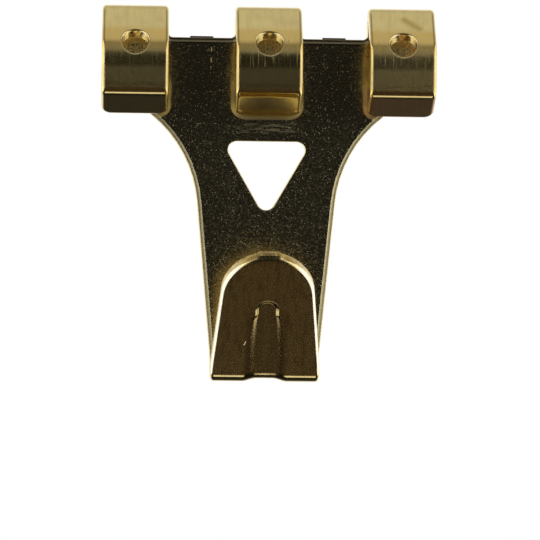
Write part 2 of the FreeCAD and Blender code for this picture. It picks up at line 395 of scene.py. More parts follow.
def stub_stops(length):
    """Stations along a straight edge that holds a stub at its middle, close together at its ends."""
    gaps = (-STUB_FLANK, STUB_FLANK)
    ends = [length / 2 + side * (STUB_WIDTH / 2 + gap) for side in (-1, 1) for gap in gaps]
    return np.unique(np.concatenate([steps(0, length, RUN_STEP), ends]))


def outer_edge():
    """The blank's outer edge: right half from the middle loop's tip to the tongue's, then its mirror."""
    half = LOOP_WIDTH / 2
    rows = loop_rows()
    blend = complex(HOOK_HALF_WIDTH + SHANK_BLEND_RADIUS, hook.station)
    blend_top = blend + SHANK_BLEND_RADIUS * cmath.rect(1, math.radians(180 - SHANK_TAPER))
    shank_up = cmath.rect(1, math.radians(90 - SHANK_TAPER))
    hole = (complex(LOOP_PITCH, exit_hole_height) - blend_top) / shank_up
    hole_reach = SHOULDER_RADIUS + SHOULDER_LAND + EXIT_HOLE_RADIUS
    waist_rise = hole.real - math.sqrt(hole_reach**2 - (SHOULDER_RADIUS + hole.imag) ** 2)
    shoulder = blend_top + shank_up * (waist_rise - 1j * SHOULDER_RADIUS)
    corner_x = LOOP_PITCH + half - SHOULDER_CORNER_RADIUS
    corner_reach = SHOULDER_RADIUS + SHOULDER_CORNER_RADIUS
    corner_rise = math.sqrt(corner_reach**2 - (shoulder.real - corner_x) ** 2)
    corner_turn = math.degrees(math.asin(corner_rise / corner_reach))
    gap = LOOP_PITCH - LOOP_WIDTH - 2 * LOOP_ROOT_ROUND
    lip_half = half - LIP_CORNER_RADIUS

    edge = CutEdge(complex(0, loop_tip), 1)
    edge.straight(lip_half)
    edge.turn(LIP_CORNER_RADIUS, -90)
    edge.down_to(LOOP_ROOT_ROUND, rows)
    edge.turn(LOOP_ROOT_ROUND, 90)
    edge.straight(gap, stub_stops(gap))
    edge.turn(LOOP_ROOT_ROUND, 90)
    edge.down_to(loop_tip - LIP_CORNER_RADIUS, rows)
    edge.turn(LIP_CORNER_RADIUS, -90)
    edge.straight(2 * lip_half)
    edge.turn(LIP_CORNER_RADIUS, -90)
    edge.down_to(LOOP_ROOT_ROUND, rows)
    edge.down_to(shoulder.imag + corner_rise)
    edge.turn(SHOULDER_CORNER_RADIUS, -corner_turn)
    edge.turn(SHOULDER_RADIUS, corner_turn - SHANK_TAPER)
    edge.straight(waist_rise)
    edge.turn(SHANK_BLEND_RADIUS, SHANK_TAPER)
    edge.down_to(tongue_foot, fold_rows(hook))
    edge.turn(SHANK_BLEND_RADIUS, -TONGUE_TAPER)
    side = edge.place.real - (edge.place.imag - tongue_tip) * tan(TONGUE_TAPER)
    tip_radius = side * cos(TONGUE_TAPER) / (1 - sin(TONGUE_TAPER))
    side_end = tongue_tip + tip_radius * (1 - sin(TONGUE_TAPER))
    edge.straight((edge.place.imag - side_end) / cos(TONGUE_TAPER))
    edge.turn(tip_radius, TONGUE_TAPER - 90)
    edge.note(edge.place, edge.heading)

    points = np.array(edge.points)
    normals = np.array(edge.normals)
    left = slice(-2, 0, -1)
    return np.concatenate([points, -points[left].conj()]), np.concatenate([normals, -normals[left].conj()])


def window_edge():
    """Edge of the rounded triangle that points down through the plate."""
    trim = WINDOW_CORNER_RADIUS / tan(30)
    edge = CutEdge(complex(WINDOW_SIDE / 2 - trim, WINDOW_TOP), -1)
    for _ in range(3):
        edge.straight(WINDOW_SIDE - 2 * trim)
        edge.turn(WINDOW_CORNER_RADIUS, 120)
    return np.array(edge.points), np.array(edge.normals)


def hole_edge(place, radius):
    """Edge of a round hole through the plate."""
    spins = np.exp(2j * math.pi * np.arange(HOLE_SIDES) / HOLE_SIDES)
    return place + radius * spins, -spins


def round_levels(rounding):
    """Insets and drops of the rings over one rounded edge, from its face to its wall."""
    angles = np.radians(np.arange(90, -1, -ROUND_STEP))
    return [(rounding * (1 - math.cos(angle)), rounding * (1 - math.sin(angle))) for angle in angles]


def wall_levels(front, back, die_marks=()):
    """Insets and depths of the rings over a cut edge with rounded corners, from front face to back face.

    The die marks are insets and drops of further rings on the front face, inwards from the last.
    """
    marks = list(die_marks)
    sunk = marks[-1][1] if marks else 0.0
    levels = [(inset, drop - SHEET) for inset, drop in marks]
    levels += [(inset, drop + sunk - SHEET) for inset, drop in round_levels(front)]
    levels += [(0.0, depth) for depth in (STUB_INSET - SHEET, STUB_INSET + STUB_FLANK - SHEET, -SHEET / 2)]
    levels += [(inset, -drop) for inset, drop in reversed(round_levels(back))]
    face = marks[0][0] if marks else front
    return [(face + GUARD, -SHEET)] + levels + [(back + GUARD, 0.0)]


def edge_rings(edge, levels):
    """Rings of points over a cut edge, as an array of levels by points by x, y and height."""
    points, normals = edge
    rings = []
    for inset, depth in levels:
        ring = points - inset * normals
        rings.append(np.column_stack([ring.real, np.full(len(ring), depth), ring.imag]))
    return np.array(rings)


def nail_rings(place):
    """Rings over a slanted nail hole, set in the blank so that the folded bore is straight and round."""
    turns = 2 * math.pi * np.arange(HOLE_SIDES) / HOLE_SIDES
    heights = np.linspace(fold_end(crown), crease.station, NAIL_SAMPLES)
    rings = []
    for inset, depth in wall_levels(RIM_ROUND, RIM_ROUND):
        y, z = np.full_like(heights, depth), heights
        for fold in loop_folds:
            y, z = folded(y, z, fold)
        drop = (nail_entry[0] - y) * sin(nail_tilt) + (nail_entry[1] - z) * cos(nail_tilt)
        radius = NAIL_HOLE_RADIUS + inset
        height = np.interp(radius * np.sin(turns), drop, heights)
        rings.append(np.column_stack([place + radius * np.cos(turns), np.full(HOLE_SIDES, depth), height]))
    return np.array(rings)


def inside(points, polygon):
    """Which of the points lie inside a polygon, both as x + 1j * height."""
    start = polygon
    end = np.roll(polygon, -1)
    level = points.imag[:, None]
    spans = (start.imag > level) != (end.imag > level)
    rise = np.where(end.imag == start.imag, 1, end.imag - start.imag)
    crossing = start.real + (level - start.imag) * (end.real - start.real) / rise
    return (spans & (points.real[:, None] < crossing)).sum(axis=1) % 2 == 1


def face_grid():
    """Points inside the faces, where they fold or are pressed."""
    columns = steps(-LOOP_WIDTH / 2, LOOP_WIDTH / 2, COLUMN_STEP)
    spots = [place + x + 1j * z for place in loop_places for z in loop_rows() for x in columns]
    groove_half = GROOVE_FLOOR_HALF_WIDTH + GROOVE_BEND_RUN
    groove_columns = steps(-groove_half, groove_half, GROOVE_STEP)
    groove_rows = steps(groove_top - GROOVE_WALL_RUN, tongue_foot, GROOVE_STEP)[:-1]
    spots += [x + 1j * z for z in groove_rows for x in groove_columns]
    outer_columns = steps(groove_half, HOOK_HALF_WIDTH, COLUMN_STEP)[1:]
    hook_columns = np.concatenate([-outer_columns, groove_columns, outer_columns])
    spots += [x + 1j * z for z in fold_rows(hook) for x in hook_columns]
    return np.array(spots)


def face_triangles(rings, grid, level):
    """Points and triangles of one face: the rings of that level first, then the grid points used."""
    borders = [ring[level, :, 0] + 1j * ring[level, :, 2] for ring in rings]
    kept = inside(grid, borders[0])
    for hole in borders[1:]:
        kept &= ~inside(grid, hole)
    ring_points = np.concatenate(borders)
    spots = grid[kept]
    clear = np.array([np.abs(ring_points - spot).min() for spot in spots]) > GUARD / 2
    points = np.concatenate([ring_points, spots[clear]])
    starts = np.cumsum([0] + [len(border) for border in borders])
    owner = np.full(len(points), -1)
    edges = []
    for number, (first, last) in enumerate(zip(starts, starts[1:])):
        owner[first:last] = number
        edges += [(i, i + 1) for i in range(first, last - 1)] + [(last - 1, first)]
    flat = [Vector((point.real, point.imag)) for point in points]
    _, _, faces, sources, _, _ = delaunay_2d_cdt(flat, edges, [], TRIANGLES_INSIDE, MERGE_DISTANCE)
    triangles = np.array([[sources[corner][0] for corner in face] for face in faces])
    holders = owner[triangles]
    in_hole = (holders[:, 0] > 0) & (holders == holders[:, :1]).all(axis=1)
    return points, triangles[~in_hole]


def groove_share(x, height):
    """How far the groove presses the sheet in at each point: 1 on its floor, 0 outside it."""
    groove_turn = 90 - TONGUE_LEAN + GROOVE_WRAP
    top = groove_top + GROOVE_FLOOR_HALF_WIDTH + GROOVE_WALL_RUN
    end = tongue_foot + mid_radius(hook) * math.radians(groove_turn)
    outer_radius = HOOK_INNER_RADIUS + SHEET
    past = np.clip((height - end) / mid_radius(hook), 0, math.pi / 2)
    beyond = np.maximum(top - height, 0) + outer_radius * np.sin(past)
    rise = outer_radius * (1 - np.cos(past)) / GROOVE_DEPTH
    spread = np.clip(1 - (tongue_foot - height) / GROOVE_SPREAD_LENGTH, 0, 1)
    wall_run = GROOVE_WALL_RUN + (GROOVE_BEND_RUN - GROOVE_WALL_RUN) * np.sqrt(spread)
    wall = np.maximum(np.hypot(x, beyond) - GROOVE_FLOOR_HALF_WIDTH, 0) / wall_run
    share = np.clip(1 - wall - rise, 0, 1)
    return share * share * (3 - 2 * share)


def raise_stub(rings, middle, way):
    """Push the middle of the outer edge's wall out to the broken stub's end."""
    across = np.abs(rings[:, :, 0] - middle.real) < STUB_WIDTH / 2
    near = across & (np.abs(rings[:, :, 2] - middle.imag) < EDGE_ROUND + STUB_HEIGHT)
    core = np.abs(rings[:, :, 1] + SHEET / 2) < SHEET / 2 - STUB_INSET - STUB_FLANK / 2
    rings[:, :, 2][near & core] = middle.imag + way * STUB_HEIGHT


def blank_rings(outer_levels):
    """Rings over every cut edge of the blank: the outer edge, the window, then each loop's two holes."""
    roll = [(BAND_WIDTH * share, BAND_DEPTH * (1 - share) ** 2) for share in ROLL_SHARES]
    rings = [
        edge_rings(outer_edge(), outer_levels),
        edge_rings(window_edge(), wall_levels(INSIDE_EDGE_ROUND, EDGE_ROUND, roll)),
    ]
    for place in loop_places:
        hole = hole_edge(complex(place, exit_hole_height), EXIT_HOLE_RADIUS)
        rings.append(edge_rings(hole, wall_levels(RIM_ROUND, RIM_ROUND)))
        rings.append(nail_rings(place))
    return rings


def flat_blank():
    """Mesh of the flat blank in millimetres, with its edges rounded and its groove pressed."""
    step = [(BAND_WIDTH + BAND_WALL, 0.0), (BAND_WIDTH, BAND_DEPTH)]
    outer_levels = wall_levels(INSIDE_EDGE_ROUND, EDGE_ROUND, step)
    rings = blank_rings(outer_levels)
    grid = face_grid()
    front_points, front_triangles = face_triangles(rings, grid, 0)
    back_points, back_triangles = face_triangles(rings, grid, -1)
    for side in (-1, 1):
        raise_stub(rings[0], complex(side * LOOP_PITCH / 2, 0), 1)
    raise_stub(rings[0], complex(0, tongue_tip), -1)

    points = []
    faces = []
    front_index = []
    back_index = []
    for ring in rings:
        levels, count, _ = ring.shape
        start = len(points)
        points += ring.reshape(-1, 3).tolist()
        index = start + np.arange(levels * count).reshape(levels, count)
        ahead = np.roll(index, -1, axis=1)
        quads = np.stack([index[:-1], ahead[:-1], ahead[1:], index[1:]], axis=-1)
        faces += quads.reshape(-1, 4).tolist()
        front_index += index[0].tolist()
        back_index += index[-1].tolist()
    sides = (
        (front_points, front_triangles, front_index, -SHEET),
        (back_points, back_triangles[:, ::-1], back_index, 0.0),
    )
    for flat, triangles, border, depth in sides:
        inner = flat[len(border):]
        index = np.array(border + list(range(len(points), len(points) + len(inner))))
        points += [[spot.real, depth, spot.imag] for spot in inner]
        faces += index[triangles].tolist()
    points = np.array(points)
    band_levels = [inset <= BAND_WIDTH and depth < -SHEET / 2 for inset, depth in outer_levels]
    outer_band = np.repeat(band_levels, rings[0].shape[1])
    on_band = np.concatenate([outer_band, np.zeros(len(points) - len(outer_band))])
    points[:, 1] -= GROOVE_DEPTH * groove_share(points[:, 0], points[:, 2])
    mesh = bpy.data.meshes.new("flat_blank")
    mesh.from_pydata(points.tolist(), [], faces)
    mesh.attributes.new("band", "FLOAT", "POINT").data.foreach_set("value", on_band)
    return mesh


def add_node(tree, kind, **settings):
    node = tree.nodes.new(kind)
    for name, value in settings.items():
        setattr(node, name, value)
    return node


def feed(tree, socket, value):
    """Link a socket to another node's output, or set it to a plain value."""
    if isinstance(value, bpy.types.NodeSocket):
        tree.links.new(value, socket)
    else:
        socket.default_value = value


def calc(tree, operation, *values):
    """Result of one arithmetic node."""
    node = add_node(tree, "ShaderNodeMath", operation=operation)
    for socket, value in zip(node.inputs, values):
        feed(tree, socket, value)
    return node.outputs[0]


def new_socket(tree, name, kind, way="INPUT"):
    return tree.interface.new_socket(name=name, in_out=way, socket_type="NodeSocket" + kind)


def fold_group():
    """Node group that wraps the sheet past a height round one fold."""
    tree = bpy.data.node_groups.new("fold_sheet", "GeometryNodeTree")
    new_socket(tree, "Geometry", "Geometry", "OUTPUT")
    new_socket(tree, "Geometry", "Geometry")
    for name in ("Station", "Mid Radius", "Mid Depth", "Turn", "Way"):
        new_socket(tree, name, "Float")
    given = add_node(tree, "NodeGroupInput").outputs
    place = add_node(tree, "ShaderNodeSeparateXYZ")
    tree.links.new(add_node(tree, "GeometryNodeInputPosition").outputs[0], place.inputs[0])
    x, y, z = place.outputs
    radius, way = given["Mid Radius"], given["Way"]
    along = calc(tree, "MULTIPLY", way, calc(tree, "SUBTRACT", z, given["Station"]))
    length = calc(tree, "MULTIPLY", radius, given["Turn"])
    bent = calc(tree, "MINIMUM", calc(tree, "MAXIMUM", along, 0.0), length)
    angle = calc(tree, "DIVIDE", bent, radius)
    past = calc(tree, "MAXIMUM", calc(tree, "SUBTRACT", along, length), 0.0)
    before = calc(tree, "MINIMUM", along, 0.0)
    centre = calc(tree, "SUBTRACT", given["Mid Depth"], radius)
    arm = calc(tree, "SUBTRACT", y, centre)
    sine = calc(tree, "SINE", angle)
    cosine = calc(tree, "COSINE", angle)
    forward = calc(tree, "SUBTRACT", calc(tree, "MULTIPLY", arm, cosine), calc(tree, "MULTIPLY", past, sine))
    onward = calc(tree, "ADD", calc(tree, "MULTIPLY", arm, sine), calc(tree, "MULTIPLY", past, cosine))
    rise = calc(tree, "MULTIPLY", way, calc(tree, "ADD", before, onward))
    spot = add_node(tree, "ShaderNodeCombineXYZ")
    feed(tree, spot.inputs[0], x)
    feed(tree, spot.inputs[1], calc(tree, "ADD", centre, forward))
    feed(tree, spot.inputs[2], calc(tree, "ADD", given["Station"], rise))
    move = add_node(tree, "GeometryNodeSetPosition")
    feed(tree, move.inputs["Geometry"], given["Geometry"])
    feed(tree, move.inputs["Position"], spot.outputs[0])
    feed(tree, add_node(tree, "NodeGroupOutput").inputs[0], move.outputs[0])
    return tree


def folding_tree(names):
    """Node tree that notes each point's place in the blank, makes the named folds and scales to metres."""
    tree = bpy.data.node_groups.new("fold_hook", "GeometryNodeTree")
    new_socket(tree, "Geometry", "Geometry", "OUTPUT")
    new_socket(tree, "Geometry", "Geometry")
    for name in names:
        for size in ("Station", "Mid Radius", "Turn", "Way"):
            new_socket(tree, name + " " + size, "Float")
    new_socket(tree, "Mid Depth", "Float")
    new_socket(tree, "Unit", "Float")
    new_socket(tree, "Finish", "Material")
    given = add_node(tree, "NodeGroupInput").outputs
    note = add_node(tree, "GeometryNodeStoreNamedAttribute", data_type="FLOAT_VECTOR", domain="POINT")
    feed(tree, note.inputs["Geometry"], given["Geometry"])
    feed(tree, note.inputs["Name"], "blank")
    feed(tree, note.inputs["Value"], add_node(tree, "GeometryNodeInputPosition").outputs[0])
    shape = note.outputs[0]
    group = fold_group()
    for name in names:
        fold = add_node(tree, "GeometryNodeGroup", node_tree=group)
        feed(tree, fold.inputs["Geometry"], shape)
        for size in ("Station", "Mid Radius", "Turn", "Way"):
            feed(tree, fold.inputs[size], given[name + " " + size])
        feed(tree, fold.inputs["Mid Depth"], given["Mid Depth"])
        shape = fold.outputs[0]
    scale = add_node(tree, "GeometryNodeTransform")
    feed(tree, scale.inputs["Geometry"], shape)
    feed(tree, scale.inputs["Scale"], given["Unit"])
    whole = add_node(tree, "GeometryNodeRealizeInstances")
    feed(tree, whole.inputs[0], scale.outputs[0])
    finish = add_node(tree, "GeometryNodeSetMaterial")
    feed(tree, finish.inputs["Geometry"], whole.outputs[0])
    feed(tree, finish.inputs["Material"], given["Finish"])
    feed(tree, add_node(tree, "NodeGroupOutput").inputs[0], finish.outputs[0])
    return tree


def folded_hook(finish):
    """The hook: its flat blank, folded by the node tree and turned into a plain mesh."""
    folds = {"Crease": crease, "Brow": brow, "Crown": crown, "Hook": hook}
    values = {"Mid Depth": -SHEET / 2, "Unit": MM, "Finish": finish}
    for name, fold in folds.items():
        values[name + " Station"] = fold.station
        values[name + " Mid Radius"] = mid_radius(fold)
        values[name + " Turn"] = math.radians(fold.turn)
        values[name + " Way"] = float(fold.way)
    blank = bpy.data.objects.new("flat_blank", flat_blank())
    bpy.context.scene.collection.objects.link(blank)
    modifier = blank.modifiers.new("fold", "NODES")
    modifier.node_group = folding_tree(folds)
    for item in modifier.node_group.interface.items_tree:
        if item.name in values:
            modifier[item.identifier] = values[item.name]
    depsgraph = bpy.context.evaluated_depsgraph_get()
    mesh = bpy.data.meshes.new_from_object(blank.evaluated_get(depsgraph), depsgraph=depsgraph)
    bpy.data.objects.remove(blank)
    mesh.name = "hook_sheet"
    mesh.shade_smooth()
    mesh.set_sharp_from_angle(angle=math.radians(SHARP_ANGLE))
    hook_sheet = bpy.data.objects.new("hook_sheet", mesh)
    bpy.context.scene.collection.objects.link(hook_sheet)
    return hook_sheet


def ramp(tree, value, start, end):
    """Smooth rise from 0 at one value to 1 at another, which may be the smaller of the two."""
    node = add_node(tree, "ShaderNodeMapRange", interpolation_type="SMOOTHSTEP")
    feed(tree, node.inputs["Value"], value)
    node.inputs["From Min"].default_value = start
    node.inputs["From Max"].default_value = end
    return node.outputs["Result"]


def between(tree, value, low, high, fade):
    """1 between two values, fading to 0 outside them."""
    return calc(tree, "MULTIPLY", ramp(tree, value, low - fade, low), ramp(tree, value, high + fade, high))


def product(tree, *values):
    """Product of several values."""
    result = values[0]
    for value in values[1:]:
        result = calc(tree, "MULTIPLY", result, value)
    return result


def total(tree, *values):
    """Sum of several values."""
    result = values[0]
    for value in values[1:]:
        result = calc(tree, "ADD", result, value)
    return result


def noise(tree, vector, scale, stretch=(1, 1, 1), detail=3.0):
    """Cloudy pattern from 0 to 1, with its sizes in millimetres of the flat blank."""
    sized = add_node(tree, "ShaderNodeVectorMath", operation="MULTIPLY")
    feed(tree, sized.inputs[0], vector)
    sized.inputs[1].default_value = stretch
    node = add_node(tree, "ShaderNodeTexNoise")
    feed(tree, node.inputs["Vector"], sized.outputs[0])
    node.inputs["Scale"].default_value = scale
    node.inputs["Detail"].default_value = detail
    return node.outputs[0]


def patches(tree, vector, pattern):
    """Patches where a cloudy pattern is strong: 1 where it is full, 0 below its start."""
    cloudy = noise(tree, vector, pattern.scale, pattern.stretch, pattern.detail)
    return ramp(tree, cloudy, pattern.start, pattern.end)


def pits(tree, vector, spacing, radius, share):
    """Small round pits scattered over the sheet: 1 in the middle of a pit, 0 outside it."""
    node = add_node(tree, "ShaderNodeTexVoronoi")
    feed(tree, node.inputs["Vector"], vector)
    node.inputs["Scale"].default_value = 1 / spacing
    pick = add_node(tree, "ShaderNodeSeparateXYZ")
    feed(tree, pick.inputs[0], node.outputs["Color"])
    chosen = calc(tree, "LESS_THAN", pick.outputs[0], share)
    return calc(tree, "MULTIPLY", ramp(tree, node.outputs["Distance"], radius / spacing, 0.0), chosen)


def mark(tree, x, z, start, end, reach):
    """Short straight mark on the blank: 1 on its line, 0 past its reach."""
    run = Vector(end) - Vector(start)
    way = run.normalized()
    off_x = calc(tree, "SUBTRACT", x, start[0])
    off_z = calc(tree, "SUBTRACT", z, start[1])
    along = calc(tree, "ADD", calc(tree, "MULTIPLY", off_x, way.x), calc(tree, "MULTIPLY", off_z, way.y))
    along = calc(tree, "MINIMUM", calc(tree, "MAXIMUM", along, 0.0), run.length)
    gap_x = calc(tree, "SUBTRACT", off_x, calc(tree, "MULTIPLY", along, way.x))
    gap_z = calc(tree, "SUBTRACT", off_z, calc(tree, "MULTIPLY", along, way.y))
    gap = calc(tree, "ADD", calc(tree, "MULTIPLY", gap_x, gap_x), calc(tree, "MULTIPLY", gap_z, gap_z))
    return ramp(tree, calc(tree, "SQRT", gap), reach, 0.0)


def lip_print(tree, from_loop, z):
    """Shallow bruise that each lip's end has pressed into the plate: 1 under the lip, 0 away from it."""
    past_x = calc(tree, "MAXIMUM", calc(tree, "SUBTRACT", from_loop, LOOP_WIDTH / 2 - PRINT_CORNER), 0.0)
    past_z = calc(tree, "MAXIMUM", calc(tree, "SUBTRACT", lip_foot + PRINT_CORNER, z), 0.0)
    gap = calc(tree, "ADD", calc(tree, "MULTIPLY", past_x, past_x), calc(tree, "MULTIPLY", past_z, past_z))
    return ramp(tree, calc(tree, "SQRT", gap), PRINT_CORNER + PRINT_WIDTH, PRINT_CORNER - PRINT_WIDTH / 2)


def tinted(tree, colour, share, tint):
    """Colour mixed with a tint by a share."""
    node = add_node(tree, "ShaderNodeMix", data_type="RGBA")
    feed(tree, node.inputs[MIX_SHARE], share)
    feed(tree, node.inputs[MIX_FROM], colour)
    node.inputs[MIX_TO].default_value = tint
    return node.outputs[MIX_RESULT]


def finish_zones(tree, x, y, z):
    """Parts of the flat blank that the finish treats alike, each 1 inside and 0 outside, in millimetres."""
    aside = calc(tree, "ABSOLUTE", x)
    from_loop = calc(tree, "ABSOLUTE", calc(tree, "WRAP", x, LOOP_PITCH / 2, -LOOP_PITCH / 2))
    brow_end = fold_end(brow)
    crease_end = fold_end(crease)
    zone = SimpleNamespace()

    # Across the hook: towards the right loop, away from the left loop, and the middle loop
    zone.right = ramp(tree, x, 6.0, 14.0)
    zone.not_left = ramp(tree, x, -12.0, -4.0)
    zone.middle = ramp(tree, aside, 8.0, 5.0)

    # Faces and cut edges of the sheet
    zone.front = ramp(tree, y, OFF_FACE - SHEET, NEAR_FACE - SHEET)
    zone.wall = between(tree, y, WALL_MARGIN - SHEET, -WALL_MARGIN, 0.1)
    zone.outside = product(
        tree, ramp(tree, y, -OFF_FACE, -NEAR_FACE), ramp(tree, z, hook.station - 0.5, hook.station)
    )

    # Plate, with its lowered band and the places round the lips' ends
    zone.plate = product(tree, zone.front, between(tree, z, hook.station, 0.0, 0.1))
    zone.low_plate = ramp(tree, z, -6.0, -16.0)
    zone.top_edge = product(
        tree, between(tree, z, -0.75, 0.5, 0.1), ramp(tree, from_loop, LOOP_WIDTH / 2, LOOP_WIDTH / 2 + 0.5)
    )
    band = add_node(tree, "ShaderNodeAttribute", attribute_name="band").outputs["Fac"]
    zone.band = product(tree, band, ramp(tree, z, -2.0, -5.0))
    zone.low_band = ramp(tree, z, -24.0, -36.0)
    zone.by_lip = product(tree, zone.plate, ramp(tree, z, -5.0, -7.5))
    zone.under_lip = product(
        tree, ramp(tree, aside, 5.5, 3.0), between(tree, z, lip_foot - 2.0, lip_foot - 1.0, 0.5)
    )
    zone.pressed = lip_print(tree, from_loop, z)

    # Loops, from the slope down to the lip, then the plate inside them and their nail holes
    zone.loop_front = ramp(tree, z, brow.station - 3.5, brow.station)
    zone.low_slope = between(tree, z, brow.station - 1.2, brow.station + 0.8, 1.2)
    zone.brow = between(tree, z, brow_end - 2.3, brow_end + 0.5, 0.7)
    zone.low_front = between(tree, z, brow_end - 1.5, crease.station + 0.5, 0.4)
    zone.lower_front = ramp(tree, z, brow_end + 0.6, brow_end + 1.4)
    zone.lip = ramp(tree, z, crease_end - 0.3, crease_end)
    zone.inside_loop = product(
        tree,
        zone.front,
        ramp(tree, from_loop, 3.6, 2.6),
        between(tree, z, lip_foot + 3.0, crown.station, 1.0),
    )
    zone.bore = product(
        tree,
        between(tree, y, NEAR_FACE - SHEET, -RIM_MARGIN, RIM_FADE),
        ramp(tree, from_loop, 3.0, 2.5),
        between(tree, z, brow.station - 2.5, brow_end, 0.3),
    )

    # Tongue, with the floor and the walls of its groove
    zone.tongue = ramp(tree, z, tongue_foot + 0.5, tongue_foot - 0.5)
    zone.tongue_rim = product(
        tree,
        zone.tongue,
        between(tree, y, -EDGE_ROUND, -RIM_MARGIN, RIM_FADE),
        ramp(tree, aside, 3.2, 4.6),
    )
    zone.groove_floor = product(
        tree,
        ramp(tree, aside, GROOVE_FLOOR_HALF_WIDTH + 0.2, GROOVE_FLOOR_HALF_WIDTH),
        between(tree, z, groove_top, tongue_foot, 0.4),
    )
    zone.groove_walls = product(
        tree, between(tree, aside, 0.9, 2.4, 0.8), between(tree, z, groove_top + 3.5, tongue_foot, 2.5)
    )
    return zone


def finish_marks(tree, blank, x, z, zone):
    """Patterns and single marks of wear on the flat blank, as values that the finish weighs."""
    look = SimpleNamespace()
    look.mottle = noise(tree, blank, MOTTLE_SCALE)
    look.grain = noise(tree, blank, GRAIN_SCALE, GRAIN_STRETCH)
    look.cloud = patches(tree, blank, CLOUD)
    look.streak = patches(tree, blank, STREAK)
    look.speck = patches(tree, blank, SPECK)
    look.stain = patches(tree, blank, STAIN)
    look.bruise = product(tree, zone.under_lip, patches(tree, blank, SCRAPE))
    look.haze = product(tree, zone.low_front, patches(tree, blank, RUB))
    streaked = total(
        tree,
        LEFT_STREAKS,
        product(tree, zone.not_left, RIGHTWARD_STREAKS),
        product(tree, zone.middle, MIDDLE_STREAKS),
    )
    look.scuff = product(tree, zone.brow, look.streak, streaked)

    # The scuffed ring is 1 halfway up the print's edge and 0 on both sides of it
    off_print = calc(tree, "SUBTRACT", 1.0, zone.pressed)
    look.ring = product(tree, zone.pressed, off_print, 4.0, zone.by_lip)
    look.smear = mark(tree, x, z, *smear)
    look.dent = mark(tree, x, z, *dent)
    broken = ramp(tree, look.mottle, 0.4, 0.6)
    look.scratch = product(tree, mark(tree, x, z, *scratch), broken, zone.plate)

    fine_pits = product(tree, pits(tree, blank, *FINE_PITS), FINE_PIT_LEVEL)
    all_pits = total(tree, fine_pits, pits(tree, blank, *LARGE_PITS))
    pit_level = total(tree, PITS_OFF_PLATE, product(tree, zone.plate, 1 - PITS_OFF_PLATE))
    look.pitted = product(tree, all_pits, pit_level)
    return look


def finish_colour(tree, zone, look):
    """Colour of the plating, with its stains, its worn places, and painted shade and highlights laid on in
    turn.
    """
    layers = (
        (look.cloud, DULL_BRASS),
        (ramp(tree, look.mottle, 0.55, 0.75), MOTTLED_BRASS),
        (product(tree, zone.lip, zone.right), RED_LIP),
        (zone.plate, PALE_PLATE),
        (product(tree, zone.tongue, look.stain), STAINED_TONGUE),
        (product(tree, zone.tongue, zone.front), TONGUE_INSIDE),
        # painted shade on the groove's sunk floor
        (zone.groove_floor, GROOVE_FLOOR_PAINTED_SHADE),
        # painted shade on the groove's walls
        (zone.groove_walls, GROOVE_WALL_PAINTED_SHADE),
        (zone.low_slope, GOLDEN_SLOPE),
        # painted shade on the plate's top edge
        (zone.top_edge, TOP_EDGE_PAINTED_SHADE),
        # painted highlight on the tongue's side rims
        (zone.tongue_rim, TONGUE_RIM_PAINTED_HIGHLIGHT),
        # painted highlight in the nail holes
        (zone.bore, BORE_PAINTED_HIGHLIGHT),
        # painted shade down the loop's front
        (zone.loop_front, LOOP_FRONT_PAINTED_SHADE),
        (product(tree, zone.outside, total(tree, look.stain, look.streak)), OUTSIDE_STAIN),
        (look.smear, SMEAR_STAIN),
        (look.pitted, PIT_GLINT),
    )
    shade = CLEAN_BRASS
    for place, tint in layers:
        shade = tinted(tree, shade, product(tree, place, tint.share), tint.colour)
    return shade


def finish_roughness(tree, zone, look):
    """Roughness of the plating: the clean metal's, and what each zone and mark adds to it."""
    in_haze = total(
        tree,
        HAZE_ROUGHNESS,
        product(tree, zone.lower_front, LOWER_HAZE_ROUGHNESS),
        product(tree, zone.right, RIGHT_HAZE_ROUGHNESS),
        product(tree, zone.middle, MIDDLE_HAZE_ROUGHNESS),
    )
    on_tongue = total(tree, TONGUE_ROUGHNESS, product(tree, look.speck, TONGUE_SPECK_ROUGHNESS))
    on_lip = total(
        tree,
        LIP_ROUGHNESS,
        product(tree, zone.right, RIGHT_LIP_ROUGHNESS),
        product(tree, zone.middle, MIDDLE_LIP_ROUGHNESS),
    )
    on_plate = total(tree, PLATE_SPECK_ROUGHNESS, product(tree, zone.low_plate, LOW_PLATE_SPECK_ROUGHNESS))
    on_band = total(tree, BAND_ROUGHNESS, product(tree, zone.low_band, LOW_BAND_ROUGHNESS))
    return total(
        tree,
        CLEAN_ROUGHNESS,
        product(tree, look.mottle, MOTTLE_ROUGHNESS),
        product(tree, look.haze, in_haze),
        product(tree, look.scuff, SCUFF_ROUGHNESS),
        product(tree, zone.wall, WALL_ROUGHNESS),
        product(tree, zone.tongue, on_tongue),
        product(tree, zone.lip, on_lip),
        product(tree, zone.plate, look.speck, on_plate),
        product(tree, look.smear, SMEAR_ROUGHNESS),
        product(tree, zone.inside_loop, ramp(tree, look.grain, 0.2, 0.8), INSIDE_LOOP_ROUGHNESS),
        product(tree, look.bruise, BRUISE_ROUGHNESS),
        product(tree, look.ring, RING_ROUGHNESS),
        product(tree, zone.plate, PLATE_ROUGHNESS),
        product(tree, zone.band, on_band),
    )


def finish_relief(tree, zone, look):
    """Height of the fine marks, as a share of the full height of relief."""
    grain_relief = total(tree, GRAIN_RELIEF, product(tree, zone.groove_walls, CRINKLE_RELIEF))
    return total(
        tree,
        product(tree, look.pitted, PIT_RELIEF),
        product(tree, look.grain, grain_relief),
        product(tree, look.streak, zone.brow, STREAK_RELIEF),
        product(tree, look.scratch, SCRATCH_RELIEF),
        product(tree, look.dent, DENT_RELIEF),
        product(tree, zone.pressed, zone.by_lip, PRINT_RELIEF),
    )


